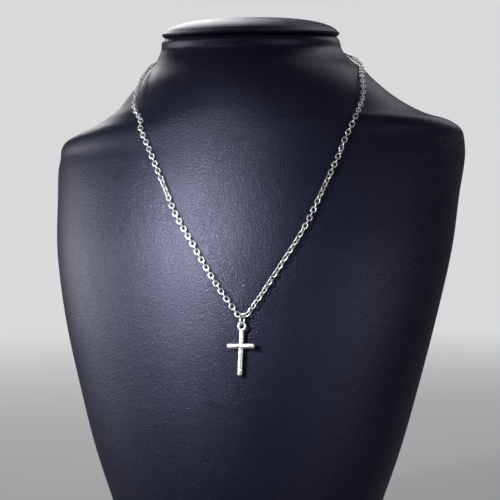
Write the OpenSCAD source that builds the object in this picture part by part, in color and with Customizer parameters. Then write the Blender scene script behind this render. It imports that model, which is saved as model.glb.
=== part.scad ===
// A small cross on a fine cable chain, round a padded neck bust. Millimetres.
// X points to the viewer's right, Y to the back and Z up. The bust stands on Z = 0.

/* [Bust] */
// Height of the body up to the seam of its cap; the whole body keeps its proportions
body_h = 243.5; // [230:0.5:260]
// Thickness of the cap at its middle
cap_t = 9; // [7:0.5:12]
// Gap between pieces that lie on each other, and at the seam of the cap
gap = 0.3; // [0.2:0.05:0.5]

/* [Chain] */
// Outer width of a link
link_w = 2.6; // [2.4:0.05:3]
// Outer length of a link
link_l = 3.35; // [3.2:0.05:4.2]
// Thickness of the links' wire
link_wire = 0.65; // [0.5:0.05:0.7]
// Angle round the chest, from its middle to the viewer's right, where the pendant hangs
hang_angle = 10.2; // [9.5:0.1:11]
// Height of the lowest link's lower wire
hang_h = 113.7; // [112:0.1:115]

/* [Jump ring] */
// Outer diameter of the jump ring
ring_d = 4.6; // [4.5:0.1:5.2]
// Thickness of its wire
ring_wire = 0.7; // [0.6:0.05:0.75]
// How far the ring's plane is turned from front to back
ring_yaw = 11; // [0:1:15]
// How far the ring leans to the viewer's left
ring_lean = 4; // [0:0.5:5]

/* [Cross] */
// Height of the cross, from the top of its eye to the foot of its stem
cross_h = 23; // [21:0.1:27]
// Width across the arms
cross_w = 11.9; // [11:0.1:15]
// Outer diameter of the eye
eye_d = 4; // [3.9:0.05:4.5]
// Thickness of the eye's wire
eye_wire = 1.05; // [0.95:0.05:1.1]
// Distance from the middle of the eye down to the middle of the arms
arms_drop = 8.4; // [7:0.1:10.5]
// Thickness of the stem at its foot
stem_d = 2; // [1.8:0.05:2.1]
// Thickness of the arms near the stem
arms_d = 2.15; // [2.15:0.05:2.6]
// How far the hanging cross leans to the viewer's left
lean = 3; // [0:0.5:4]
// How far the arms are out of square, with the right one up
skew = 4.5; // [0:0.5:6]

/* [Clasp] */
// Length of the clasp's barrel
clasp_l = 12; // [10:0.5:14]
// Thickness of the barrel
clasp_d = 3.8; // [3:0.1:5]

/* [Hidden] */
navy = [0.13, 0.14, 0.22];
silver = [0.85, 0.85, 0.87];

// Sections of the body. Columns: height, half width, Y of the widest line, Y of the front,
// Y of the back, and how many degrees the section leans forward and to the viewer's right
SECTIONS = [
    [    0,  54.5,  5.0, -52.5, 52.5,  0.0,  0.0],
    [  1.5,  56.0,  5.0, -54.0, 54.0,  0.0,  0.0],
    [   19,  63.0,  5.0, -56.0, 55.5,  0.0,  0.0],
    [   47,  73.0,  4.0, -58.0, 57.0,  0.0,  0.0],
    [   75,  81.0,  5.0, -59.5, 58.0,  0.0,  0.0],
    [  108,  89.5,  7.0, -59.5, 58.5,  0.0,  0.0],
    [  141,  96.5, 14.0, -57.0, 59.0,  0.0,  0.0],
    [  168,  99.5, 22.5, -51.5, 59.5,  0.0,  0.0],
    [  182, 101.5, 28.5, -48.0, 59.5,  0.5, -1.0],
    [  190, 101.0, 30.0, -45.7, 59.5,  0.5, -2.0],
    [194.5,  99.5, 26.5, -44.3, 59.5,  0.5, -2.0],
    [  198,  94.5, 20.5, -43.2, 59.5,  0.5, -2.0],
    [  201,  85.0, 14.0, -42.2, 59.5,  0.5, -2.0],
    [204.5,  76.0,  8.5, -41.0, 59.5,  0.5, -3.0],
    [208.5,  69.0,  5.0, -39.4, 59.5,  0.5, -4.0],
    [  214,  62.0,  5.0, -37.0, 59.5,  0.5, -5.0],
    [221.5,  56.0,  9.5, -33.3, 59.5,  1.0, -4.0],
    [  230,  48.5, 17.0, -29.0, 59.0,  3.0, -1.5],
    [237.5,  44.0, 18.0, -26.0, 59.0,  5.5,  1.5],
    [241.5,  43.0, 16.5, -26.5, 59.5,  6.5,  1.5],
    [243.5,  41.5, 16.5, -25.0, 58.0,  6.5,  1.5]];
rows = len(SECTIONS);
table_h = SECTIONS[rows - 1][0];
grow = body_h / table_h;
around = 60;
low_step = 8;
high_step = 3;
shoulder_h = 188;

// The chain's way on the body. Columns: angle from the middle of the chest, and height.
// The left arm starts at the pendant and ends at the back of the neck, and so does the right.
LEFT = [
    [8.6, 114.8], [4.3, 123.7], [0, 134], [-4.5, 146], [-9, 157.5], [-12.5, 170],
    [-17, 186], [-20.5, 195], [-25.5, 201], [-35, 207], [-42, 212], [-46, 216],
    [-50, 220], [-56, 224], [-65, 228], [-78, 231.5], [-93, 234], [-109, 236],
    [-126, 237], [-148, 237], [-169, 237]];
RIGHT = [
    [11.3, 115], [15.5, 125.5], [19, 135.5], [22.5, 145.5], [25.5, 155.5], [28, 166.5],
    [30.5, 178], [33, 188.5], [36.5, 196], [42.5, 200], [50.5, 203.5], [57.5, 207],
    [64.5, 211], [72.5, 216], [81.5, 221.5], [92, 227.5], [106, 232.5], [123, 236],
    [145, 237], [169, 237]];
rings_per_row = 2;
sides = 8;

// A column of the section table at any height, on a smooth curve through the rows
function slope(col, i) =
    let (lo = max(i - 1, 0), hi = min(i + 1, rows - 1))
    (SECTIONS[hi][col] - SECTIONS[lo][col]) / (SECTIONS[hi][0] - SECTIONS[lo][0]);
function row_below(z) = max([for (i = [0 : rows - 2]) if (SECTIONS[i][0] <= z) i]);
function smooth(col, z) =
    let (i = row_below(z), p = SECTIONS[i], q = SECTIONS[i + 1], d = q[0] - p[0], t = (z - p[0]) / d)
    (1 + 2 * t) * pow(1 - t, 2) * p[col] + t * pow(1 - t, 2) * d * slope(col, i)
    + t * t * (3 - 2 * t) * q[col] - t * t * (1 - t) * d * slope(col, i + 1);

// A point of the body's skin, and a point at a distance outside it
function skin(a, z) =
    let (widest = smooth(2, z), reach = cos(a) > 0 ? widest - smooth(3, z) : smooth(4, z) - widest,
         x = smooth(1, z) * sin(a), y = -cos(a) * reach)
    grow * [x, widest + y, z + y * tan(smooth(5, z)) - x * tan(smooth(6, z))];
function unit(v) = v / norm(v);
function outwards(a, z) =
    let (e = 0.05)
    unit(cross(skin(a + e, z) - skin(a - e, z), skin(a, z + e) - skin(a, z - e)));
function outside(a, z, distance) = skin(a, z) + distance * outwards(a, z);

// A place on an arm of the chain, counted in rows, on a smooth curve through the rows
function way(arm, t) =
    let (i = min(floor(t), len(arm) - 2), u = t - i, p = arm[max(i - 1, 0)], q = arm[i], r = arm[i + 1],
         s = arm[min(i + 2, len(arm) - 1)])
    q + (r - p) * u / 2 + (2 * p - 5 * q + 4 * r - s) * u * u / 2
    + (3 * q - p - 3 * r + s) * u * u * u / 2;
function thread(arm, t) = let (w = way(arm, t)) outside(w[0], w[1], gap + link_w / 2);

// Where the pendant hangs: the lowest link's lower wire stands off the chest by the jump ring behind it
bar = skin(hang_angle, hang_h) - [0, gap + ring_d / 2, 0];
link_half_w = (link_w - link_wire) / 2;
link_straight = link_l - link_w;
link_tilt = 45;
touch = 0.05;
ring_r = (ring_d - ring_wire) / 2;
ring_drop = ring_r - link_wire / 2 - ring_wire / 2 - touch;
eye_r = (eye_d - eye_wire) / 2;
eye_drop = eye_r - eye_wire / 2 - ring_wire / 2 - touch;
pivot = bar - (ring_drop + ring_r) * [sin(ring_lean), 0, cos(ring_lean)];

// A straight bar that swells from one thickness to another, with rounded ends, standing on its foot
module round_bar(length, foot_d, head_d, foot_round, head_round) {
    foot = foot_d / 2;
    head = head_d / 2;
    arc = 15;
    rotate_extrude($fn = 48)
        polygon(concat(
            [[0, 0]],
            [for (a = [0 : arc : 90]) [foot - foot_round + foot_round * sin(a), foot_round * (1 - cos(a))]],
            [for (a = [0 : arc : 90])
                [head - head_round + head_round * cos(a), length - head_round * (1 - sin(a))]],
            [[0, length]]));
}

// A ring of round wire about the Z axis
module wire_ring(radius, wire) {
    rotate_extrude($fn = 64) translate([radius, 0]) circle(d = wire, $fn = 32);
}

// The padded body: rings of points on the skin, closed by a flat base and a flat top
module bust_body() {
    levels = concat(
        [for (i = [0 : rows - 2])
            let (low = SECTIONS[i][0], high = SECTIONS[i + 1][0],
                 steps = ceil((high - low) / (low < shoulder_h ? low_step : high_step)))
            for (k = [0 : steps - 1]) low + (high - low) * k / steps],
        [table_h]);
    last = len(levels) - 1;
    points = [for (z = levels) for (k = [0 : around - 1]) skin(360 * k / around, z)];
    walls = [for (j = [0 : last - 1]) for (k = [0 : around - 1])
        let (n = (k + 1) % around, low = j * around, high = low + around)
        each [[low + k, high + k, high + n], [low + k, high + n, low + n]]];
    base = [for (k = [0 : around - 1]) k];
    top = [for (k = [around - 1 : -1 : 0]) last * around + k];
    color(navy) polyhedron(points, concat(walls, [base, top]));
}

// The cap: a low dome whose rim turns in to the seam, tilted with the neck.
// Its height at a share s of the rim's radius is cap_t * (1 - s^flatness)^(1 / roundness).
module bust_cap() {
    top = SECTIONS[rows - 1];
    slant = [tan(top[6]), tan(top[5])];
    rim_r = grow * SECTIONS[rows - 2][1];
    seam_round = 1.5;
    flatness = 2.65;
    roundness = 2.2;
    shares = [0.995, 0.98, 0.95, 0.9, 0.83, 0.74, 0.62, 0.48, 0.3, 0.15, 0];
    foot = [for (a = [0 : 30 : 90]) [rim_r - seam_round * (1 - sin(a)), seam_round * (1 - cos(a))]];
    dome = [for (s = shares) [rim_r * s, cap_t * pow(1 - pow(s, flatness), 1 / roundness)]];
    color(navy)
        translate([0, grow * top[2], body_h])
            rotate([0, 0, atan2(slant.x, slant.y)])
                rotate([atan(norm(slant)), 0, 0])
                    translate([0, 0, gap])
                        rotate_extrude($fn = 96) polygon(concat([[0, 0]], foot, dome));
}

// One arm of the chain: a plain tube of the links' outer width along its way
module chain_arm(arm) {
    last = (len(arm) - 1) * rings_per_row;
    near = 0.02;
    points = [for (j = [0 : last])
        let (t = j / rings_per_row, w = way(arm, t), middle = thread(arm, t), out = outwards(w[0], w[1]),
             ahead = unit(thread(arm, min(t + near, len(arm) - 1)) - thread(arm, max(t - near, 0))),
             side = unit(cross(ahead, out)), up = cross(side, ahead))
        for (k = [0 : sides - 1])
            let (a = 360 * (k + 0.5) / sides)
            middle + link_w / 2 * (cos(a) * up + sin(a) * side)];
    walls = [for (j = [0 : last - 1]) for (k = [0 : sides - 1])
        let (n = (k + 1) % sides, low = j * sides, high = low + sides)
        each [[low + k, high + k, high + n], [low + k, high + n, low + n]]];
    start = [for (k = [0 : sides - 1]) k];
    end = [for (k = [sides - 1 : -1 : 0]) last * sides + k];
    color(silver) polyhedron(points, concat(walls, [start, end]));
}
module chain_left() { chain_arm(LEFT); }
module chain_right() { chain_arm(RIGHT); }

// The lowest link: an oval of wire along X, leaning back on the chest, with its lower wire in front
module centre_link() {
    color(silver)
        translate(bar)
            rotate([90 - link_tilt, 0, 0])
                translate([0, link_half_w, 0])
                    for (side = [-1, 1]) {
                        translate([side * link_straight / 2, 0, 0])
                            rotate([0, 0, side * -90])
                                rotate_extrude(angle = 180, $fn = 64)
                                    translate([link_half_w, 0]) circle(d = link_wire, $fn = 32);
                        translate([-link_straight / 2, side * link_half_w, 0])
                            rotate([0, 90, 0]) cylinder(h = link_straight, d = link_wire, $fn = 32);
                    }
}

// The jump ring, which hangs on the lowest link and turns on its lower wire
module jump_ring() {
    color(silver)
        translate(bar)
            rotate([0, ring_lean, 0])
                translate([0, 0, -ring_drop])
                    rotate([0, 90, -ring_yaw]) wire_ring(ring_r, ring_wire);
}

// The cross: eye, stem and arms in one piece, hanging on the foot of the jump ring
module cross() {
    stem_top = eye_r - 0.1;
    stem_l = cross_h - eye_d / 2 - stem_top;
    stem_head_d = stem_d - 0.25;
    foot_round = 0.9;
    head_round = 0.45;
    arms_end_d = arms_d + 0.2;
    arms_round = 0.6;
    color(silver)
        translate(pivot)
            rotate([0, lean, 0])
                translate([0, 0, -eye_drop]) {
                    rotate([90, 0, 0]) wire_ring(eye_r, eye_wire);
                    translate([0, 0, -stem_top - stem_l])
                        round_bar(stem_l, stem_d, stem_head_d, foot_round, head_round);
                    translate([0, 0, -arms_drop])
                        rotate([0, 90 - skew, 0])
                            translate([0, 0, -cross_w / 2])
                                round_bar(cross_w, arms_d, arms_end_d, arms_round, arms_round);
                }
}

// The clasp behind the neck: a plain barrel with an eye at each end
module clasp() {
    clasp_h = LEFT[len(LEFT) - 1][1];
    barrel_round = 1.6;
    eyelet_r = 1.2;
    eyelet_x = clasp_l / 2 + eyelet_r - link_wire / 4;
    color(silver)
        translate(outside(180, clasp_h, gap + clasp_d / 2)) {
            translate([-clasp_l / 2, 0, 0])
                rotate([0, 90, 0]) round_bar(clasp_l, clasp_d, clasp_d, barrel_round, barrel_round);
            for (side = [-1, 1])
                translate([side * eyelet_x, 0, 0]) rotate([90, 0, 0]) wire_ring(eyelet_r, link_wire);
        }
}

bust_body();
bust_cap();
chain_left();
chain_right();
centre_link();
jump_ring();
cross();
clasp();
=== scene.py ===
# %% [markdown]
# # A small cross on a fine chain, round a neck bust
#
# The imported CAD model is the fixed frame: it says where every piece is and which pieces
# move. This script loads it first, and dresses it piece by piece: the covered bust and
# its cap, the links of the chain, the rings, the cross and the clasp. Lengths are noted
# in millimetres, as a jeweller would, and MM turns them into Blender's metres.

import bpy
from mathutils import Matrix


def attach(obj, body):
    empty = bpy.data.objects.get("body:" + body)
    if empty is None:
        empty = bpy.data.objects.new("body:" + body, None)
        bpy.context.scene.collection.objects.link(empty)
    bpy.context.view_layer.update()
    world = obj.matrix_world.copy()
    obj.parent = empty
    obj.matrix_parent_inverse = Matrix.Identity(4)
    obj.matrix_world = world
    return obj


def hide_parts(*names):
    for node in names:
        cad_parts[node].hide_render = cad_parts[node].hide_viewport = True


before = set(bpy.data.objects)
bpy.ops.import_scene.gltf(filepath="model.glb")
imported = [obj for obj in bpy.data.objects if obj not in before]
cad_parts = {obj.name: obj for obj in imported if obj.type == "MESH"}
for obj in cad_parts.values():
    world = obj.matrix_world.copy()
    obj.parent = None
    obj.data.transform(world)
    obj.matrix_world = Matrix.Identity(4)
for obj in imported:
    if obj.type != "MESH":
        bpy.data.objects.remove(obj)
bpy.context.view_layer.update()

# %% Tools and units
import bisect
import math
import random

import bmesh
import bpy
from mathutils import Matrix, Vector

MM = 0.001
DEG = math.pi / 180
TINY = 1e-6
random.seed(7)
print("one millimetre is", MM, "of Blender's units")

# %% [markdown]
# ## The camera
#
# The photo was taken from the height of the chest, a little to the right of the middle,
# with a lens of moderate length. The camera is turned a little about its own line of
# sight, as a hand-held one is. Its place was found from the outline of the bust, so the
# outline of the render can be laid over the photo's.

# %% Place the camera
CAMERA_PLACE = Vector((146.49, -534.4, 150.9)) * MM
CAMERA_AIM = Vector((0, 12.3, 140.6)) * MM
CAMERA_LENS = 84.24
CAMERA_ROLL = 0.4 * DEG

bpy.ops.object.select_all(action="DESELECT")
bpy.ops.object.camera_add(location=CAMERA_PLACE)
camera = bpy.context.active_object
camera.data.lens = CAMERA_LENS
camera.data.sensor_width = 36
camera.data.clip_start = 0.01
look = (CAMERA_AIM - CAMERA_PLACE).to_track_quat("-Z", "Y").to_matrix()
camera.rotation_euler = (look @ Matrix.Rotation(-CAMERA_ROLL, 3, "Z")).to_euler()
bpy.context.scene.camera = camera
print("camera to chest", round((CAMERA_AIM - CAMERA_PLACE).length, 3), "m")

# %% [markdown]
# ## The bust's measurements
#
# A tailor measures a bust in level rounds, and so does this table: at each height the
# half width, where the widest line lies from front to back, the front and the back, and
# how far the round leans forward and to the viewer's right. A smooth curve through each
# column gives the rounds in between, and from them any point of the skin. The chain
# lies on the same skin, so it needs the same functions.

# %% The table of rounds
ROUNDS = [
    (0, 54.5, 5, -52.5, 52.5, 0, 0),
    (1.5, 56, 5, -54, 54, 0, 0),
    (19, 63, 5, -56, 55.5, 0, 0),
    (47, 73, 4, -58, 57, 0, 0),
    (75, 81, 5, -59.5, 58, 0, 0),
    (108, 89.5, 7, -59.5, 58.5, 0, 0),
    (141, 96.5, 14, -57, 59, 0, 0),
    (168, 99.5, 22.5, -51.5, 59.5, 0, 0),
    (182, 101.5, 28.5, -48, 59.5, 0.5, -1),
    (190, 101, 30, -45.7, 59.5, 0.5, -2),
    (194.5, 99.5, 26.5, -44.3, 59.5, 0.5, -2),
    (198, 94.5, 20.5, -43.2, 59.5, 0.5, -2),
    (201, 85, 14, -42.2, 59.5, 0.5, -2),
    (204.5, 76, 8.5, -41, 59.5, 0.5, -3),
    (208.5, 69, 5, -39.4, 59.5, 0.5, -4),
    (214, 62, 5, -37, 59.5, 0.5, -5),
    (221.5, 56, 9.5, -33.3, 59.5, 1, -4),
    (230, 48.5, 17, -29, 59, 3, -1.5),
    (237.5, 44, 18, -26, 59, 5.5, 1.5),
    (241.5, 43, 16.5, -26.5, 59.5, 6.5, 1.5),
    (243.5, 41.5, 16.5, -25, 58, 6.5, 1.5),
]
HALF, WIDEST, FRONT, BACK, FORWARD, RIGHT = COLUMNS = range(1, 7)
HEIGHTS = [row[0] for row in ROUNDS]
BODY_H = HEIGHTS[-1]
print(len(ROUNDS), "rounds up to", BODY_H, "mm")


# %% Curves through the table
def slope(column, i):
    """How fast a column changes with height at row i"""
    low, high = max(i - 1, 0), min(i + 1, len(ROUNDS) - 1)
    return (ROUNDS[high][column] - ROUNDS[low][column]) / (HEIGHTS[high] - HEIGHTS[low])


def measure(column, z):
    """A column of the table at any height, on a cubic curve through the rows"""
    i = min(max(bisect.bisect_right(HEIGHTS, z) - 1, 0), len(ROUNDS) - 2)
    d = HEIGHTS[i + 1] - HEIGHTS[i]
    t = (z - HEIGHTS[i]) / d
    here, there = ROUNDS[i][column], ROUNDS[i + 1][column]
    return (
        (1 + 2 * t) * (1 - t) ** 2 * here
        + t * (1 - t) ** 2 * d * slope(column, i)
        + t * t * (3 - 2 * t) * there
        - t * t * (1 - t) * d * slope(column, i + 1)
    )


def skin(angle, z):
    """A point of the skin in mm: angle in degrees from the middle of the chest, and height"""
    half, widest, front, back, forward, right = (measure(c, z) for c in COLUMNS)
    turn = angle * DEG
    reach = widest - front if math.cos(turn) > 0 else back - widest
    x, y = half * math.sin(turn), -math.cos(turn) * reach
    return Vector((x, widest + y, z + y * math.tan(forward * DEG) - x * math.tan(right * DEG)))


def outwards(angle, z, e=0.05):
    """The direction out of the skin at a point"""
    across = skin(angle + e, z) - skin(angle - e, z)
    return across.cross(skin(angle, z + e) - skin(angle, z - e)).normalized()


print("front of the chest at 114 mm:", [round(v, 1) for v in skin(0, 114)])

# %% [markdown]
# ## A stack of rings
#
# The bust, its cap, the bars of the cross and the barrel of the clasp are all tall round
# forms whose width changes on the way up. One way suits them all: start with a disc,
# extrude it up to the next height, and resize the new ring there. The front half and
# the back half are resized on their own, because the chest is fuller than the back.


# %% Helpers for modelling by hand
def new_piece(name, add, **settings):
    """Adds a primitive with nothing else selected, places it, and gives it a name"""
    bpy.ops.object.select_all(action="DESELECT")
    add(**settings)
    piece = bpy.context.active_object
    piece.name = name
    return piece


def select_points(piece, wanted):
    """In edit mode, selects the points of a piece for which wanted(point) is true"""
    bpy.ops.mesh.select_all(action="DESELECT")
    mesh = bmesh.from_edit_mesh(piece.data)
    for point in mesh.verts:
        if wanted(point):
            point.select_set(True)
    mesh.select_flush(True)
    bmesh.update_edit_mesh(piece.data)


def select_ring(piece, first, count, wanted=None):
    """In edit mode, selects the points of one ring, or those that wanted() picks"""
    bpy.ops.mesh.select_all(action="DESELECT")
    mesh = bmesh.from_edit_mesh(piece.data)
    mesh.verts.ensure_lookup_table()
    for point in mesh.verts[first : first + count]:
        if wanted is None or wanted(point):
            point.select_set(True)
    mesh.select_flush(True)
    bmesh.update_edit_mesh(piece.data)


def apply_place(piece):
    """Moves a piece's place, turn and size into its mesh, so that its object is at the origin"""
    bpy.ops.object.select_all(action="DESELECT")
    piece.select_set(True)
    bpy.context.view_layer.objects.active = piece
    bpy.ops.object.transform_apply(location=True, rotation=True, scale=True)


def put(piece, matrix):
    """Places a piece by a matrix in mm, and applies it"""
    place = matrix.copy()
    place.translation *= MM
    piece.matrix_world = place @ piece.matrix_world
    apply_place(piece)


def smooth_shade(piece, angle=40):
    bpy.ops.object.select_all(action="DESELECT")
    piece.select_set(True)
    bpy.context.view_layer.objects.active = piece
    bpy.ops.object.shade_smooth_by_angle(angle=angle * DEG)


print("helpers ready")


# %% The stack of rings
def stack(name, rings, sides, pole=False):
    """rings: height, half width, widest line, depth in front of it and behind it, in mm"""
    z, half, widest, fore, aft = rings[0]
    piece = new_piece(
        name,
        bpy.ops.mesh.primitive_circle_add,
        vertices=sides,
        radius=MM,
        fill_type="NGON",
        location=(0, widest * MM, z * MM),
    )
    apply_place(piece)
    bpy.ops.object.mode_set(mode="EDIT")
    old = (z, 1, widest, 1, 1)
    first = 0
    for ring in rings:
        z, half, widest, fore, aft = ring
        if ring is not rings[0]:
            rise = (0, (widest - old[2]) * MM, (z - old[0]) * MM)
            select_ring(piece, first, sides)
            bpy.ops.mesh.extrude_region_move(TRANSFORM_OT_translate={"value": rise})
            first += sides
        middle = Vector((0, widest, z)) * MM
        for share, part in (
            (fore / old[3], lambda p: p.co.y < middle.y - TINY / 10),
            (aft / old[4], lambda p: p.co.y >= middle.y - TINY / 10),
        ):
            select_ring(piece, first, sides, part)
            bpy.ops.transform.resize(value=(half / old[1], share, 1), center_override=middle)
        old = (z, half, widest, fore, aft)
    select_ring(piece, first, sides)
    if pole:
        bpy.ops.mesh.merge(type="CENTER")
    bpy.ops.mesh.select_all(action="SELECT")
    bpy.ops.mesh.normals_make_consistent(inside=False)
    bpy.ops.object.mode_set(mode="OBJECT")
    return piece


def report(piece):
    """Prints a piece's size in mm, its triangles, and whether it is closed"""
    mesh = bmesh.new()
    mesh.from_mesh(piece.data)
    open_edges = sum(not e.is_manifold for e in mesh.edges)
    size = [round(d / MM, 1) for d in piece.dimensions]
    triangles = sum(len(f.verts) - 2 for f in mesh.faces)
    print(piece.name, "size", size, "triangles", triangles, "open edges", open_edges,
          "volume", round(mesh.calc_volume() / MM**3, 1))
    mesh.free()


print("stack ready")

# %% [markdown]
# ## The body of the bust
#
# A display bust like this is a foam form with leatherette drawn tight over it, so its
# skin runs in one sweep from the base to the neck without a fold. A sculpted blob would
# lose the measured outline. The stack of rings keeps it: about a hundred rounds from
# the curves above, close together at the shoulders where the form turns quickly. Each
# round is made level, and those of the shoulders and neck are tilted afterwards.

# %% Heights of the rounds
BODY_SIDES = 128
LOW_STEP, HIGH_STEP, SHOULDERS = 4.5, 1.1, 181
FEWEST_STEPS = 3
levels = []
for low, high in zip(HEIGHTS, HEIGHTS[1:]):
    step = LOW_STEP if low < SHOULDERS else HIGH_STEP
    steps = max(math.ceil((high - low) / step), FEWEST_STEPS)
    levels += [low + (high - low) * k / steps for k in range(steps)]
levels.append(BODY_H)
print(len(levels), "rounds of", BODY_SIDES, "points")


# %% Stack the body and tilt its upper rounds
def level_ring(z):
    """A ring for the stack, enlarged so that it has the right size once it is tilted"""
    half, widest, front, back, forward, right = (measure(c, z) for c in COLUMNS)
    tall = math.cos(forward * DEG)
    return (
        z,
        half / math.cos(right * DEG),
        widest,
        (widest - front) / tall,
        (back - widest) / tall,
    )


bust_body = stack("bust_body_cover", [level_ring(z) for z in levels], BODY_SIDES)
bpy.context.view_layer.objects.active = bust_body
bpy.ops.object.mode_set(mode="EDIT")
for k, z in enumerate(levels):
    forward, right = measure(FORWARD, z), measure(RIGHT, z)
    if abs(forward) + abs(right) > TINY:
        middle = Vector((0, measure(WIDEST, z), z)) * MM
        select_ring(bust_body, k * BODY_SIDES, BODY_SIDES)
        for lean, axis in ((forward, "X"), (right, "Y")):
            bpy.ops.transform.rotate(value=-lean * DEG, orient_axis=axis, center_override=middle)
bpy.ops.object.mode_set(mode="OBJECT")
smooth_shade(bust_body)
report(bust_body)
worst = 0
for k, z in enumerate(levels):
    ring = bust_body.data.vertices[k * BODY_SIDES : (k + 1) * BODY_SIDES]
    lowest = min(v.co.z for v in ring) / MM
    wanted = min(skin(a, z).z for a in range(0, 360, 3))
    worst = max(worst, abs(lowest - wanted))
print("tilted rounds are within", round(worst, 3), "mm of the table")

# %% [markdown]
# ## The base
#
# Under such a bust the leatherette is folded round the edge, and a thin panel of felt
# covers the hollow. The base face is inset by the width of the fold, and the panel is
# pushed up by its own thickness, so that the fold stands on the table.

# %% Sink the felt panel
FOLD, FOLD_EDGE, PANEL_SUNK = 5, 0.4, 0.8
bpy.ops.object.mode_set(mode="EDIT")
select_ring(bust_body, 0, BODY_SIDES)
bpy.ops.mesh.inset(thickness=FOLD * MM, use_boundary=True)
bpy.ops.mesh.inset(thickness=FOLD_EDGE * MM, depth=0, use_boundary=True)
bpy.ops.transform.translate(value=(0, 0, PANEL_SUNK * MM))
bpy.ops.object.mode_set(mode="OBJECT")
report(bust_body)

# %% [markdown]
# ## The cap
#
# The neck is closed by a padded disc, covered in the same leatherette. Its rim turns in
# to the seam, which shows as a dark line, and its top is a low dome that is fuller
# than part of a ball: flat in the middle and quick to fall at the rim. The stack makes
# it upright at the origin, and then it is tilted and placed on the neck.

# %% Stack the cap and put it on the neck
CAP_T, SEAM, SEAM_ROUND = 9.0, 0.3, 1.5
SEAM_STEP = 15 * DEG
FLATNESS, ROUNDNESS = 2.65, 2.2
CAP_SIDES = 112
top = ROUNDS[-1]
rim = ROUNDS[-2][HALF]
outline = []
for k in range(7):
    turn = k * SEAM_STEP
    outline.append((SEAM_ROUND * (1 - math.cos(turn)), rim - SEAM_ROUND * (1 - math.sin(turn))))
DOME = [0.985, 0.97, 0.95, 0.92, 0.88, 0.83, 0.77, 0.7, 0.62, 0.52, 0.41, 0.3, 0.19, 0.09, 0.03]
for share in DOME:
    outline.append((CAP_T * (1 - share**FLATNESS) ** (1 / ROUNDNESS), rim * share))
bust_cap = stack("bust_cap_cover", [(h, r, 0, r, r) for h, r in outline], CAP_SIDES, pole=True)
slant_right = math.tan(top[RIGHT] * DEG)
slant_forward = math.tan(top[FORWARD] * DEG)
put(
    bust_cap,
    Matrix.Translation((0, top[WIDEST], BODY_H))
    @ Matrix.Rotation(math.atan2(slant_right, slant_forward), 4, "Z")
    @ Matrix.Rotation(math.atan(math.hypot(slant_right, slant_forward)), 4, "X")
    @ Matrix.Translation((0, 0, SEAM)),
)
smooth_shade(bust_cap)
report(bust_cap)

# %% [markdown]
# ## One link of the chain
#
# A cable chain is made of plain oval links, each turned a quarter against the next. The
# link is a ring of wire that is pulled out to an oval: a torus whose two halves are
# moved apart. There are more than two hundred of them and each is three millimetres
# long, so one link has only a few dozen faces. The links of the arms have a wire that is
# a tenth of a millimetre finer than that of the lowest link, which stays the CAD piece.
# So their holes show as dark dots, as in the photo, and their spacing stays the same.

# %% Make the link
LINK_W, LINK_L, WIRE = 2.6, 3.35, 0.65
FINER = 0.1
FINE_W, FINE_L, FINE_WIRE = LINK_W - FINER, LINK_L - 2 * FINER, WIRE - FINER
link = new_piece(
    "link",
    bpy.ops.mesh.primitive_torus_add,
    major_segments=12,
    minor_segments=5,
    major_radius=(FINE_W - FINE_WIRE) / 2 * MM,
    minor_radius=FINE_WIRE / 2 * MM,
    rotation=(0, 0, 15 * DEG),
)
apply_place(link)
bpy.ops.object.mode_set(mode="EDIT")
for side in (1, -1):
    select_points(link, lambda p: p.co.x * side > 0)
    bpy.ops.transform.translate(value=(side * (FINE_L - FINE_W) / 2 * MM, 0, 0))
bpy.ops.object.mode_set(mode="OBJECT")
bpy.ops.object.shade_smooth()
report(link)

# %% [markdown]
# ## The way of the chain
#
# The chain hangs in a V on the chest, climbs over the shoulders and meets its clasp
# behind the neck. Its way is noted like a walk on the bust: how far round from the
# middle of the chest, and how high. A smooth curve through the notes, lifted off the
# skin by half a link, is the line that the links are threaded on.

# %% The notes of the way
LEFT_WAY = [
    (8.6, 114.8), (4.3, 123.7), (0, 134), (-4.5, 146), (-9, 157.5), (-12.5, 170),
    (-17, 186), (-20.5, 195), (-25.5, 201), (-35, 207), (-42, 212), (-46, 216),
    (-50, 220), (-56, 224), (-65, 228), (-78, 231.5), (-93, 234), (-109, 236),
    (-126, 237), (-148, 237), (-169, 237),
]
RIGHT_WAY = [
    (11.3, 115), (15.5, 125.5), (19, 135.5), (22.5, 145.5), (25.5, 155.5), (28, 166.5),
    (30.5, 178), (33, 188.5), (36.5, 196), (42.5, 200), (50.5, 203.5), (57.5, 207),
    (64.5, 211), (72.5, 216), (81.5, 221.5), (92, 227.5), (106, 232.5), (123, 236),
    (145, 237), (169, 237),
]
GAP = 0.3
HANG_ANGLE, HANG_H = 10.2, 113.7
RING_D, RING_WIRE, RING_YAW, RING_LEAN = 4.6, 0.7, 11, 4
TOUCH = 0.05
CLASP_L, CLASP_D, EYELET_R = 12, 3.8, 1.2
bar = skin(HANG_ANGLE, HANG_H) - Vector((0, GAP + RING_D / 2, 0))
link_half_w = (LINK_W - WIRE) / 2
centre_middle = bar + Vector((0, 1, 1)) * link_half_w * math.sin(45 * DEG)
clasp_middle = skin(180, LEFT_WAY[-1][1]) + outwards(180, LEFT_WAY[-1][1]) * (GAP + CLASP_D / 2)
eyelet_x = CLASP_L / 2 + EYELET_R - WIRE / 4
print("lowest link at", [round(v, 1) for v in bar])


# %% Points along the way
def way(arm, t):
    """A place on an arm's way, counted in notes, on a smooth curve through them"""
    i = min(int(t), len(arm) - 2)
    u = t - i
    p, q, r, s = (arm[min(max(k, 0), len(arm) - 1)] for k in (i - 1, i, i + 1, i + 2))
    return [
        b + (c - a) * u / 2 + (2 * a - 5 * b + 4 * c - d) * u**2 / 2
        + (3 * b - a - 3 * c + d) * u**3 / 2
        for a, b, c, d in zip(p, q, r, s)
    ]


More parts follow.
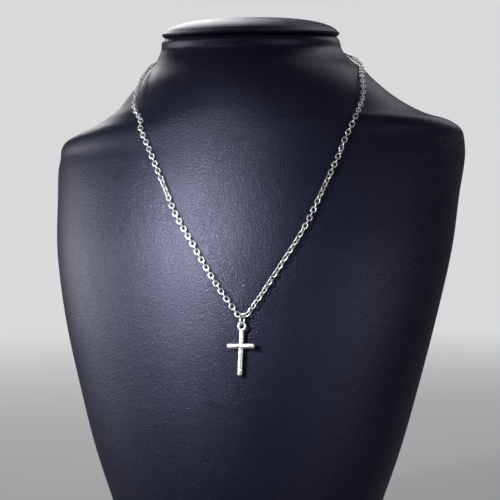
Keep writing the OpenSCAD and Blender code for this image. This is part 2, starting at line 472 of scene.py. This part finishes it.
def thread(arm, side, per_note=16):
    """The line of an arm from the lowest link to its eye of the clasp, with the way out"""
    points = [centre_middle + Vector((side * (LINK_L - LINK_W) / 2, 0, 0))]
    outs = [outwards(*arm[0])]
    for k in range((len(arm) - 1) * per_note + 1):
        place = way(arm, k / per_note)
        outs.append(outwards(*place))
        points.append(skin(*place) + outs[-1] * (GAP + LINK_W / 2))
    points.append(clasp_middle + Vector((side * eyelet_x, 0, 0)))
    outs.append(outs[-1])
    runs = [0]
    for a, b in zip(points, points[1:]):
        runs.append(runs[-1] + (b - a).length)
    return points, outs, runs


def along(values, runs, s):
    """A value of a line at the distance s along it"""
    i = min(max(bisect.bisect_right(runs, s) - 1, 0), len(runs) - 2)
    share = (s - runs[i]) / max(runs[i + 1] - runs[i], 1e-9)
    return values[i] + (values[i + 1] - values[i]) * share


for name, arm, side in (("left", LEFT_WAY, -1), ("right", RIGHT_WAY, 1)):
    print(name, "arm is", round(thread(arm, side)[2][-1], 1), "mm long")

# %% [markdown]
# ## The two arms of the chain
#
# Every link is a copy of the first one, with a mesh of its own. It points along the
# line, and is rolled about it by a quarter turn more than the one before. A real chain
# also twists as a whole where it leans on the leatherette. In the photo every second
# link faces the camera for a stretch, then all of them stand at half a quarter turn,
# and after that the others face it. A short table gives this twist of each arm at some
# distances. Behind the neck, which is not seen, it is counted from the skin. A few
# degrees of chance keep the links from looking stamped.

# %% Thread the links
TWISTS = {
    "left": [(0, 0), (60, 0), (64, 42), (70, 42), (74, 90), (300, 90)],
    "right": [
        (0, 42), (43, 42), (48, 0), (57, 0), (61, 42), (70, 42), (74, 90), (79, 90), (82, 62),
        (86, 62), (89, 90), (300, 90),
    ],
}
CHANCE = 4
SLACK, END_SLACK = 0.03, 0.3
PITCH = LINK_L - 2 * WIRE - SLACK
REACH = (LINK_L - WIRE) / 2 - WIRE - SLACK + END_SLACK
SHOWN, HIDDEN = 150, 175


def twist_at(name, s):
    """How far the chain as a whole is rolled at the distance s, in degrees"""
    runs, twists = zip(*TWISTS[name])
    return along(twists, runs, s)


def place_link(points, outs, runs, s, roll):
    """The matrix of a link at the distance s, its length along the line"""
    place = along(points, runs, s)
    ahead = along(points, runs, s + PITCH / 2) - along(points, runs, s - PITCH / 2)
    ahead.normalize()
    share = min(max((HIDDEN - s) / (HIDDEN - SHOWN), 0), 1)
    viewer = (CAMERA_PLACE / MM - place).normalized()
    towards = viewer * share + along(outs, runs, s) * (1 - share)
    across = towards.cross(ahead).normalized()
    face = ahead.cross(across)
    up = face * math.cos(roll) + across * math.sin(roll)
    matrix = Matrix((ahead, up.cross(ahead), up)).transposed().to_4x4()
    matrix.translation = place
    return matrix


def chain_arm(name, arm, side):
    """Threads the links of an arm at even distances, and joins them"""
    points, outs, runs = thread(arm, side)
    first = link_half_w + REACH
    last = runs[-1] - EYELET_R - REACH
    count = round((last - first) / PITCH)
    copies = []
    for k in range(count + 1):
        s = first + (last - first) * k / count
        roll = twist_at(name, s) + 90 * (k % 2) + random.uniform(-CHANCE, CHANCE)
        copy = link.copy()
        copy.data = link.data.copy()
        bpy.context.collection.objects.link(copy)
        matrix = place_link(points, outs, runs, s, roll * DEG)
        matrix.translation *= MM
        copy.matrix_world = matrix
        copies.append(copy)
    bpy.ops.object.select_all(action="DESELECT")
    for copy in copies:
        copy.select_set(True)
    bpy.context.view_layer.objects.active = copies[0]
    bpy.ops.object.join()
    piece = bpy.context.active_object
    piece.name = "chain_" + name + "_links"
    apply_place(piece)
    print(name, "arm has", count + 1, "links,", round((last - first) / count, 3), "mm apart")
    return piece


chain_left = chain_arm("left", LEFT_WAY, -1)
chain_right = chain_arm("right", RIGHT_WAY, 1)
bpy.data.objects.remove(link)
for piece in (chain_left, chain_right):
    report(piece)

# %% [markdown]
# ## The jump ring
#
# The ring that carries the cross is a turn of wire with a cut in it, so that it can be
# opened and closed with pliers. A closed torus would miss the cut. Instead the round
# section of the wire is spun almost all the way round, which leaves two flat ends that
# nearly touch. It hangs on the lowest link, a little turned and a little to one side.

# %% Spin the jump ring
CUT, CUT_AT = 1.6, 118
ring_r = (RING_D - RING_WIRE) / 2
ring_drop = ring_r - WIRE / 2 - RING_WIRE / 2 - TOUCH
jump_ring = new_piece(
    "jump_ring_wire",
    bpy.ops.mesh.primitive_circle_add,
    vertices=20,
    radius=RING_WIRE / 2 * MM,
    fill_type="NGON",
    location=(ring_r * MM, 0, 0),
    rotation=(90 * DEG, 0, 0),
)
apply_place(jump_ring)
bpy.ops.object.mode_set(mode="EDIT")
bpy.ops.mesh.select_all(action="SELECT")
bpy.ops.mesh.spin(steps=72, angle=(360 - CUT) * DEG, center=(0, 0, 0), axis=(0, 0, 1))
bpy.ops.mesh.select_all(action="SELECT")
bpy.ops.mesh.normals_make_consistent(inside=False)
bpy.ops.object.mode_set(mode="OBJECT")
put(
    jump_ring,
    Matrix.Translation(bar)
    @ Matrix.Rotation(RING_LEAN * DEG, 4, "Y")
    @ Matrix.Translation((0, 0, -ring_drop))
    @ Matrix.Rotation(-RING_YAW * DEG, 4, "Z")
    @ Matrix.Rotation(90 * DEG, 4, "Y")
    @ Matrix.Rotation(CUT_AT * DEG, 4, "Z"),
)
smooth_shade(jump_ring)
report(jump_ring)

# %% [markdown]
# ## The cross
#
# The cross is cast in one: an eye, a stem and two arms that are a little uneven, as if
# shaped by hand, with the soft facets of a light hammer. First the bars are stacked
# from rings and the eye is a torus. Joined and remeshed at a tenth of a millimetre they
# flow into each other as cast metal does, and a cell pattern then presses the facets
# in. The eye stays smooth, because the jump ring has worn it.

# %% Stack the stem and the arms, and add the eye
CROSS_H, CROSS_W, EYE_D, EYE_WIRE = 23.0, 11.9, 4.0, 1.05
ARMS_DROP, CROSS_LEAN, SKEW = 8.4, 3, 4.5
eye_r = (EYE_D - EYE_WIRE) / 2
eye_drop = eye_r - EYE_WIRE / 2 - RING_WIRE / 2 - TOUCH
stem_top = eye_r - 0.1
stem_l = CROSS_H - EYE_D / 2 - stem_top
FLAT = 0.86
STEM = [
    (0, 0.35), (0.08, 0.62), (0.3, 0.86), (0.7, 0.98), (1.4, 1.0), (4, 0.97), (8, 0.94),
    (11.5, 0.97), (13, 0.95), (16, 0.88), (18.4, 0.85), (19.2, 0.9), (stem_l, 0.8),
]
ARMS = [
    (0, 0.6), (0.05, 0.9), (0.2, 1.08), (0.5, 1.16), (1.2, 1.18), (3.2, 1.14), (5, 1.12),
    (7, 1.12), (8.6, 1.16), (10.2, 1.24), (11.2, 1.24), (11.6, 1.12), (11.82, 0.85), (CROSS_W, 0.5),
]
stem = stack("cross_metal", [(z, r, 0, r * FLAT, r * FLAT) for z, r in STEM], 20)
put(stem, Matrix.Translation((0, 0, -stem_top - stem_l)))
arms = stack("arms", [(z, r, 0, r * FLAT, r * FLAT) for z, r in ARMS], 20)
put(
    arms,
    Matrix.Translation((0, 0, -ARMS_DROP))
    @ Matrix.Rotation((90 - SKEW) * DEG, 4, "Y")
    @ Matrix.Translation((0, 0, -CROSS_W / 2)),
)
eye = new_piece(
    "eye",
    bpy.ops.mesh.primitive_torus_add,
    major_segments=64,
    minor_segments=20,
    major_radius=eye_r * MM,
    minor_radius=EYE_WIRE / 2 * MM,
    rotation=(90 * DEG, 0, 0),
)
apply_place(eye)
for piece in (stem, arms, eye):
    report(piece)

# %% Cast them in one and hammer the bars
VOXEL, FACET, DENT = 0.11, 1.4, 0.2
EYE_FADE = 0.8
bpy.ops.object.select_all(action="DESELECT")
for piece in (arms, eye, stem):
    piece.select_set(True)
bpy.context.view_layer.objects.active = stem
bpy.ops.object.join()
cross = bpy.context.active_object
melt = cross.modifiers.new("melt", "REMESH")
melt.mode = "VOXEL"
melt.voxel_size = VOXEL * MM
bpy.ops.object.modifier_apply(modifier=melt.name)
soften = cross.modifiers.new("soften", "SMOOTH")
soften.factor = 0.5
soften.iterations = 6
bpy.ops.object.modifier_apply(modifier=soften.name)
bars = cross.vertex_groups.new(name="bars")
eye_foot = -(eye_r + EYE_WIRE)
for point in cross.data.vertices:
    share = min(max((eye_foot * MM - point.co.z) / (EYE_FADE * MM), 0), 1)
    bars.add([point.index], share, "REPLACE")
blows = bpy.data.textures.new("blows", "VORONOI")
blows.noise_scale = FACET * MM
blows.distance_metric = "DISTANCE"
hammer = cross.modifiers.new("hammer", "DISPLACE")
hammer.texture = blows
hammer.texture_coords = "LOCAL"
hammer.vertex_group = bars.name
hammer.mid_level = 0.25
hammer.strength = DENT * MM
bpy.ops.object.modifier_apply(modifier=hammer.name)
print("cross voxels", VOXEL, "mm, facets", FACET, "mm")

# %% Hang the cross on the jump ring
lean_axis = Vector((math.sin(RING_LEAN * DEG), 0, math.cos(RING_LEAN * DEG)))
pivot = bar - lean_axis * (ring_drop + ring_r)
put(
    cross,
    Matrix.Translation(pivot)
    @ Matrix.Rotation(CROSS_LEAN * DEG, 4, "Y")
    @ Matrix.Translation((0, 0, -eye_drop)),
)
bpy.ops.object.select_all(action="DESELECT")
cross.select_set(True)
bpy.ops.object.shade_smooth()
report(cross)

# %% [markdown]
# ## The clasp
#
# The photo hides the clasp behind the neck. A plain barrel clasp suits a chain of this
# size: two halves that screw together, so the barrel has a fine groove round its middle
# and a collar at each end, and an eye at each end takes the last link.

# %% Stack the barrel and add its eyes
BARREL = [
    (0, 0.8), (0.12, 1.25), (0.4, 1.45), (1.0, 1.5), (1.15, 1.3), (1.35, 1.3), (1.6, 1.62),
    (2.4, 1.78), (3.8, 1.88), (5.8, 1.9), (5.88, 1.74), (6.12, 1.74), (6.2, 1.9), (8.2, 1.88),
    (9.6, 1.78), (10.4, 1.62), (10.65, 1.3), (10.85, 1.3), (11, 1.5), (11.6, 1.45),
    (11.88, 1.25), (CLASP_L, 0.8),
]
clasp = stack("clasp_metal", [(z, r, 0, r, r) for z, r in BARREL], 40)
put(clasp, Matrix.Rotation(90 * DEG, 4, "Y") @ Matrix.Translation((0, 0, -CLASP_L / 2)))
ends = [clasp]
for side in (-1, 1):
    end = new_piece(
        "clasp_end",
        bpy.ops.mesh.primitive_torus_add,
        major_segments=40,
        minor_segments=14,
        major_radius=EYELET_R * MM,
        minor_radius=WIRE / 2 * MM,
        location=(side * eyelet_x * MM, 0, 0),
        rotation=(90 * DEG, 0, 0),
    )
    apply_place(end)
    ends.append(end)
bpy.ops.object.select_all(action="DESELECT")
for piece in ends:
    piece.select_set(True)
bpy.context.view_layer.objects.active = clasp
bpy.ops.object.join()
put(clasp, Matrix.Translation(clasp_middle))
smooth_shade(clasp, 35)
report(clasp)

# %% [markdown]
# ## Writing materials as sums
#
# A procedural material is a small calculation on places. Wired by hand it is a tangle
# of nodes, so this class wraps a socket and lets Python's own signs add the Math nodes.
# Any other node comes from one method, which sets the node's options first and then its
# sockets.


# %% A socket that can be used in sums
MIX_FIRST, MIX_SECOND, MIX_COLOUR = 6, 7, 2


class Wire:
    """A socket of a node tree, for use in expressions"""

    def __init__(self, tree, socket):
        self.tree = tree
        self.socket = socket

    def node(self, kind, settings=None, inputs=None, output=0):
        """Adds a node with its settings and the values or links of its sockets"""
        made = self.tree.nodes.new(kind)
        for name, value in (settings or {}).items():
            setattr(made, name, value)
        for name, value in (inputs or {}).items():
            self.plug(made.inputs[name], value)
        return Wire(self.tree, made.outputs[output])

    def plug(self, socket, value):
        """Links a wire to a socket, or sets the socket to a plain value"""
        if isinstance(value, Wire):
            self.tree.links.new(value.socket, socket)
        else:
            socket.default_value = value

    def math(self, operation, *values):
        return self.node(
            "ShaderNodeMath", {"operation": operation}, dict(enumerate(values))
        )

    def __add__(self, other):
        return self.math("ADD", self, other)

    def __sub__(self, other):
        return self.math("SUBTRACT", self, other)

    def __rsub__(self, other):
        return self.math("SUBTRACT", other, self)

    def __mul__(self, other):
        return self.math("MULTIPLY", self, other)

    __radd__ = __add__
    __rmul__ = __mul__

    def between(self, low, high):
        """0 below low, 1 above high, and smooth in between"""
        return self.node(
            "ShaderNodeMapRange",
            {"interpolation_type": "SMOOTHSTEP"},
            {"Value": self, "From Min": low, "From Max": high},
        )

    def blend(self, first, second):
        """A colour from first to second as this value goes from 0 to 1"""
        made = self.node("ShaderNodeMix", {"data_type": "RGBA"}, {"Factor": self}).socket.node
        self.plug(made.inputs[MIX_FIRST], first)
        self.plug(made.inputs[MIX_SECOND], second)
        return Wire(self.tree, made.outputs[MIX_COLOUR])


def colour(r, g, b):
    return (r, g, b, 1)


def new_material(name, **fixed):
    """A material with the fixed values of its shader, its place and its shader"""
    material = bpy.data.materials.new(name)
    material.use_nodes = True
    shader = material.node_tree.nodes["Principled BSDF"]
    for socket, value in fixed.items():
        shader.inputs[socket.replace("_", " ")].default_value = value
    start = Wire(material.node_tree, None)
    place = start.node("ShaderNodeTexCoord", output="Object")
    return material, place, shader


def feed(shader, **wires):
    for socket, wire in wires.items():
        wire.tree.links.new(wire.socket, shader.inputs[socket.replace("_", " ")])


def noise(place, size, detail=2.0, roughness=0.5):
    """Noise whose patches are about size mm"""
    return place.node(
        "ShaderNodeTexNoise",
        inputs={"Vector": place, "Scale": 1 / (size * MM), "Detail": detail, "Roughness": roughness},
    )


print("materials can be written as sums")

# %% [markdown]
# ## Leatherette
#
# Leatherette is cloth with a soft plastic skin that is embossed with a pebbled grain,
# under a millimetre from pebble to pebble. The pebbles are domes, the cells of a Voronoi
# pattern, and grit finer than a pebble breaks them up, so the light glints from points
# and not from lines. A second Voronoi pattern, drawn a little out of true by noise,
# gives the narrow creases. They are duller than the crests, which have been polished by
# handling, and they are painted darker than the crests: a painted shade in the creases.
# The skin is nearly black with a blue cast, so most of what is seen is the soft shine on
# the grain.

# %% Navy leatherette
PEBBLE, CREASE, GRAIN_DEPTH = 0.66, 0.22, 0.15
GRIT, FINE_GRIT = 0.55, 0.18
DRIFT_SIZE, DRIFT = 1.6, 0.55
PATCH, RUB = 34, 7


def leatherette(name):
    """Navy leatherette for the body and the cap"""
    material, place, shader = new_material(
        name, Specular_IOR_Level=0.35, Specular_Tint=colour(0.72, 0.73, 1.0)
    )
    drift = place.node(
        "ShaderNodeTexNoise",
        inputs={"Vector": place, "Scale": 1 / (DRIFT_SIZE * MM), "Detail": 1.0},
        output=1,
    )
    shift = drift.node("ShaderNodeVectorMath", {"operation": "SCALE"}, {0: drift, "Scale": DRIFT * MM})
    warped = place.node("ShaderNodeVectorMath", {"operation": "ADD"}, {0: place, 1: shift})
    edge = place.node(
        "ShaderNodeTexVoronoi",
        {"feature": "DISTANCE_TO_EDGE"},
        {"Vector": warped, "Scale": 1 / (PEBBLE * MM)},
    )
    crest = edge.between(0.0, CREASE)
    hollow = place.node("ShaderNodeTexVoronoi", inputs={"Vector": place, "Scale": 1 / (PEBBLE * MM)})
    grit = noise(place, GRIT, 1.0)
    fine = noise(place, FINE_GRIT, 3.0)
    patches = noise(place, PATCH, 3.0, 0.55)
    rubbed = noise(place, RUB, 4.0, 0.6).between(0.5, 0.8)
    height = crest * 0.1 - hollow * 0.5 + grit * 1.3 + fine * 0.2
    bump = height.node(
        "ShaderNodeBump",
        inputs={"Strength": 0.9, "Distance": GRAIN_DEPTH * MM, "Height": height},
    )
    # Painted shade: the creases get the darker colour and the crests the lighter one.
    painted_crease_shade = patches.blend(colour(0.0045, 0.0050, 0.0115), colour(0.0065, 0.0072, 0.0165))
    high = patches.blend(colour(0.0085, 0.0092, 0.021), colour(0.012, 0.0127, 0.028))
    base = crest.blend(painted_crease_shade, high)
    dull = 0.36 - crest * 0.06 - rubbed * 0.04 + (patches - 0.5) * 0.1
    feed(shader, Base_Color=base, Roughness=dull, Normal=bump)
    return material


navy = leatherette("leatherette_navy")
print("pebbles", PEBBLE, "mm")

# %% [markdown]
# ## Felt under the base
#
# The panel under the bust is felt: matt, with short fibres in all directions. Fine
# rough noise gives the fibres, and a coarser one the clumps they gather in.

# %% Black felt
FIBRE, CLUMP, FELT_DEPTH = 0.5, 4.0, 0.2
felt, place, shader = new_material("felt_black", Sheen_Weight=0.3, Sheen_Roughness=0.7)
fibre = noise(place, FIBRE, 5.0, 0.7)
clumps = noise(place, CLUMP, 2.0)
felt_bump = fibre.node(
    "ShaderNodeBump",
    inputs={"Strength": 0.8, "Distance": FELT_DEPTH * MM, "Height": fibre + clumps * 0.5},
)
feed(
    shader,
    Base_Color=fibre.blend(colour(0.010, 0.010, 0.012), colour(0.030, 0.030, 0.034)),
    Roughness=0.9 + clumps * 0.08,
    Normal=felt_bump,
)
print("felt ready")

# %% [markdown]
# ## Silver
#
# The wire of the chain is drawn and tumbled bright, so it is smooth but never a perfect
# mirror: fine scratches run over it and a breath of tarnish makes it a shade duller in
# places. The cast cross is the same colour with a softer, slightly grainy face.


# %% Silver for wire and casting
WEAR, CLOUD, SCRATCH = 0.9, 3.5, 0.12


def silver(name, dullness, scratch_depth, tarnish):
    """Silver of a given roughness, depth of scratches in mm, and share of tarnish"""
    material, place, shader = new_material(name)
    wear = noise(place, WEAR, 4.0, 0.6)
    cloud = noise(place, CLOUD, 2.0)
    scratch = noise(place, SCRATCH, 3.0, 0.65)
    bump = scratch.node(
        "ShaderNodeBump",
        inputs={"Strength": 0.5, "Distance": scratch_depth * MM, "Height": scratch + wear * 0.6},
    )
    dim = cloud.between(0.52, 0.8) * tarnish
    base = dim.blend(colour(0.93, 0.93, 0.925), colour(0.55, 0.54, 0.52))
    metal = 1 - dim * 0.15
    feed(
        shader,
        Base_Color=base,
        Metallic=metal,
        Roughness=dullness + wear * 0.1 + dim * 0.2,
        Normal=bump,
    )
    return material


wire_silver = silver("silver_wire", 0.28, 0.004, 0.25)
cast_silver = silver("silver_cast", 0.33, 0.02, 0.5)
print("silver ready")

# %% [markdown]
# ## Dress the pieces
#
# Each piece gets its material, rides on the CAD body that carries it, and says which
# CAD node it stands for. The lowest link is a plain oval of wire that the CAD model
# already has right, so it keeps its CAD mesh and only changes its finish.


# %% Materials, bodies and what each piece stands for
def dress(piece, body, node, slot, *materials):
    """Gives a piece its materials, its body and its CAD node; the slot is not used"""
    piece.data.materials.clear()
    for material in materials:
        piece.data.materials.append(material)
    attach(piece, body)
    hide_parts(node)
    print(piece.name, "rides on", body, "and stands for", node)


dress(bust_body, "bust", "bust_body", "leatherette", navy, felt)
for face in bust_body.data.polygons:
    if face.normal.z < -0.9 and abs(face.center.z - PANEL_SUNK * MM) < 0.1 * MM:
        face.material_index = 1
dress(bust_cap, "bust", "bust_cap", "leatherette", navy)
dress(chain_left, "bust", "chain_left", "chain_silver", wire_silver)
dress(chain_right, "bust", "chain_right", "chain_silver", wire_silver)
dress(jump_ring, "ring", "jump_ring", "chain_silver", wire_silver)
dress(cross, "pendant", "cross", "cross_silver", cast_silver)
dress(clasp, "bust", "clasp", "chain_silver", wire_silver)
centre_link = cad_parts["centre_link"]
centre_link.data.materials.clear()
centre_link.data.materials.append(wire_silver)

# %% [markdown]
# ## Floor and light
#
# The object stands on a plain pale floor that fades into a pale surround, so nothing
# competes with it. Only the camera sees the floor and the pale surround. What lights the
# object is dim, as in a studio with its lamps only on the object.
#
# The key is a wide, low strip of light from the left front. Its beam is narrow, like
# that of a lamp behind a honeycomb grid, and aimed at the chest, so the leatherette
# shines there and stays dark at the base and in the hollow under the neck. A small lamp
# above it, with the same narrow beam, gives the chain and the cross their shadows on the
# leatherette. A window on the left and a weak low light on the right fill the sides, and
# two lights behind draw a thin line along the outline.

# %% Floor
FLOOR_R, FADE_FROM, FADE_TO = 1.6, 0.35, 1.25
floor = new_piece(
    "floor",
    bpy.ops.mesh.primitive_circle_add,
    vertices=96,
    radius=FLOOR_R,
    fill_type="NGON",
)
SPECKLE = 3.0
floor_material, place, shader = new_material("floor_paint", Roughness=0.7)
away = place.node("ShaderNodeVectorMath", {"operation": "LENGTH"}, {0: place}, output=1)
fade = 1 - away.between(FADE_FROM, FADE_TO)
seen = place.node("ShaderNodeLightPath")
speckle = noise(place, SPECKLE, 3.0)
feed(
    shader,
    Base_Color=speckle.blend(colour(0.60, 0.60, 0.61), colour(0.66, 0.66, 0.67)),
    Alpha=fade * seen,
)
floor.data.materials.append(floor_material)
print("floor", FLOOR_R, "m in radius")


# %% Lights
MIDDLE = (0, 0, 0.15)
BEAM, WINDOW_BEAM = 16 * DEG, 60 * DEG


def soft_light(name, azimuth, elevation, distance, size, power, aim=MIDDLE, beam=180 * DEG):
    """An area light round the object: degrees to the viewer's right and up, metres, watts"""
    a, e = azimuth * DEG, elevation * DEG
    way_out = Vector((math.sin(a) * math.cos(e), -math.cos(a) * math.cos(e), math.sin(e)))
    place = Vector(aim) + way_out * distance
    bpy.ops.object.light_add(type="AREA", location=place)
    light = bpy.context.active_object
    light.name = name
    light.rotation_euler = (-way_out).to_track_quat("-Z", "Y").to_euler()
    light.data.shape = "RECTANGLE"
    light.data.size, light.data.size_y = size
    light.data.energy = power
    light.data.spread = beam
    print(name, "at", [round(v, 2) for v in place])


soft_light("key", -38, 8, 0.7, (0.5, 0.14), 0.13, (-0.02, -0.05, 0.127), BEAM)
soft_light("window", -88, 2, 1.2, (1.1, 0.45), 1.2, (0, 0, 0.12), WINDOW_BEAM)
soft_light("side_fill", 62, -6, 1.2, (0.9, 0.3), 2.4)
soft_light("lamp", -22, 23, 0.8, (0.03, 0.03), 0.11, (-0.02, -0.05, 0.125), BEAM)
soft_light("rim_left", -150, 40, 1.2, (0.5, 0.9), 6)
soft_light("rim_right", 150, 40, 1.2, (0.5, 0.9), 2)

# %% Surround
DIM, PALE = 0.1, 0.8
world = bpy.context.scene.world or bpy.data.worlds.new("surround")
bpy.context.scene.world = world
world.use_nodes = True
tree = world.node_tree
tree.nodes.clear()
start = Wire(tree, None)
seen = start.node("ShaderNodeLightPath")
dim = start.node("ShaderNodeBackground", inputs={"Color": colour(0.85, 0.9, 1.0), "Strength": DIM})
pale = start.node("ShaderNodeBackground", inputs={"Color": colour(0.86, 0.87, 0.88), "Strength": PALE})
mix = start.node("ShaderNodeMixShader", inputs={0: seen, 1: dim, 2: pale})
out = tree.nodes.new("ShaderNodeOutputWorld")
tree.links.new(mix.socket, out.inputs["Surface"])
bpy.context.scene.view_settings.view_transform = "Standard"
print("surround ready")
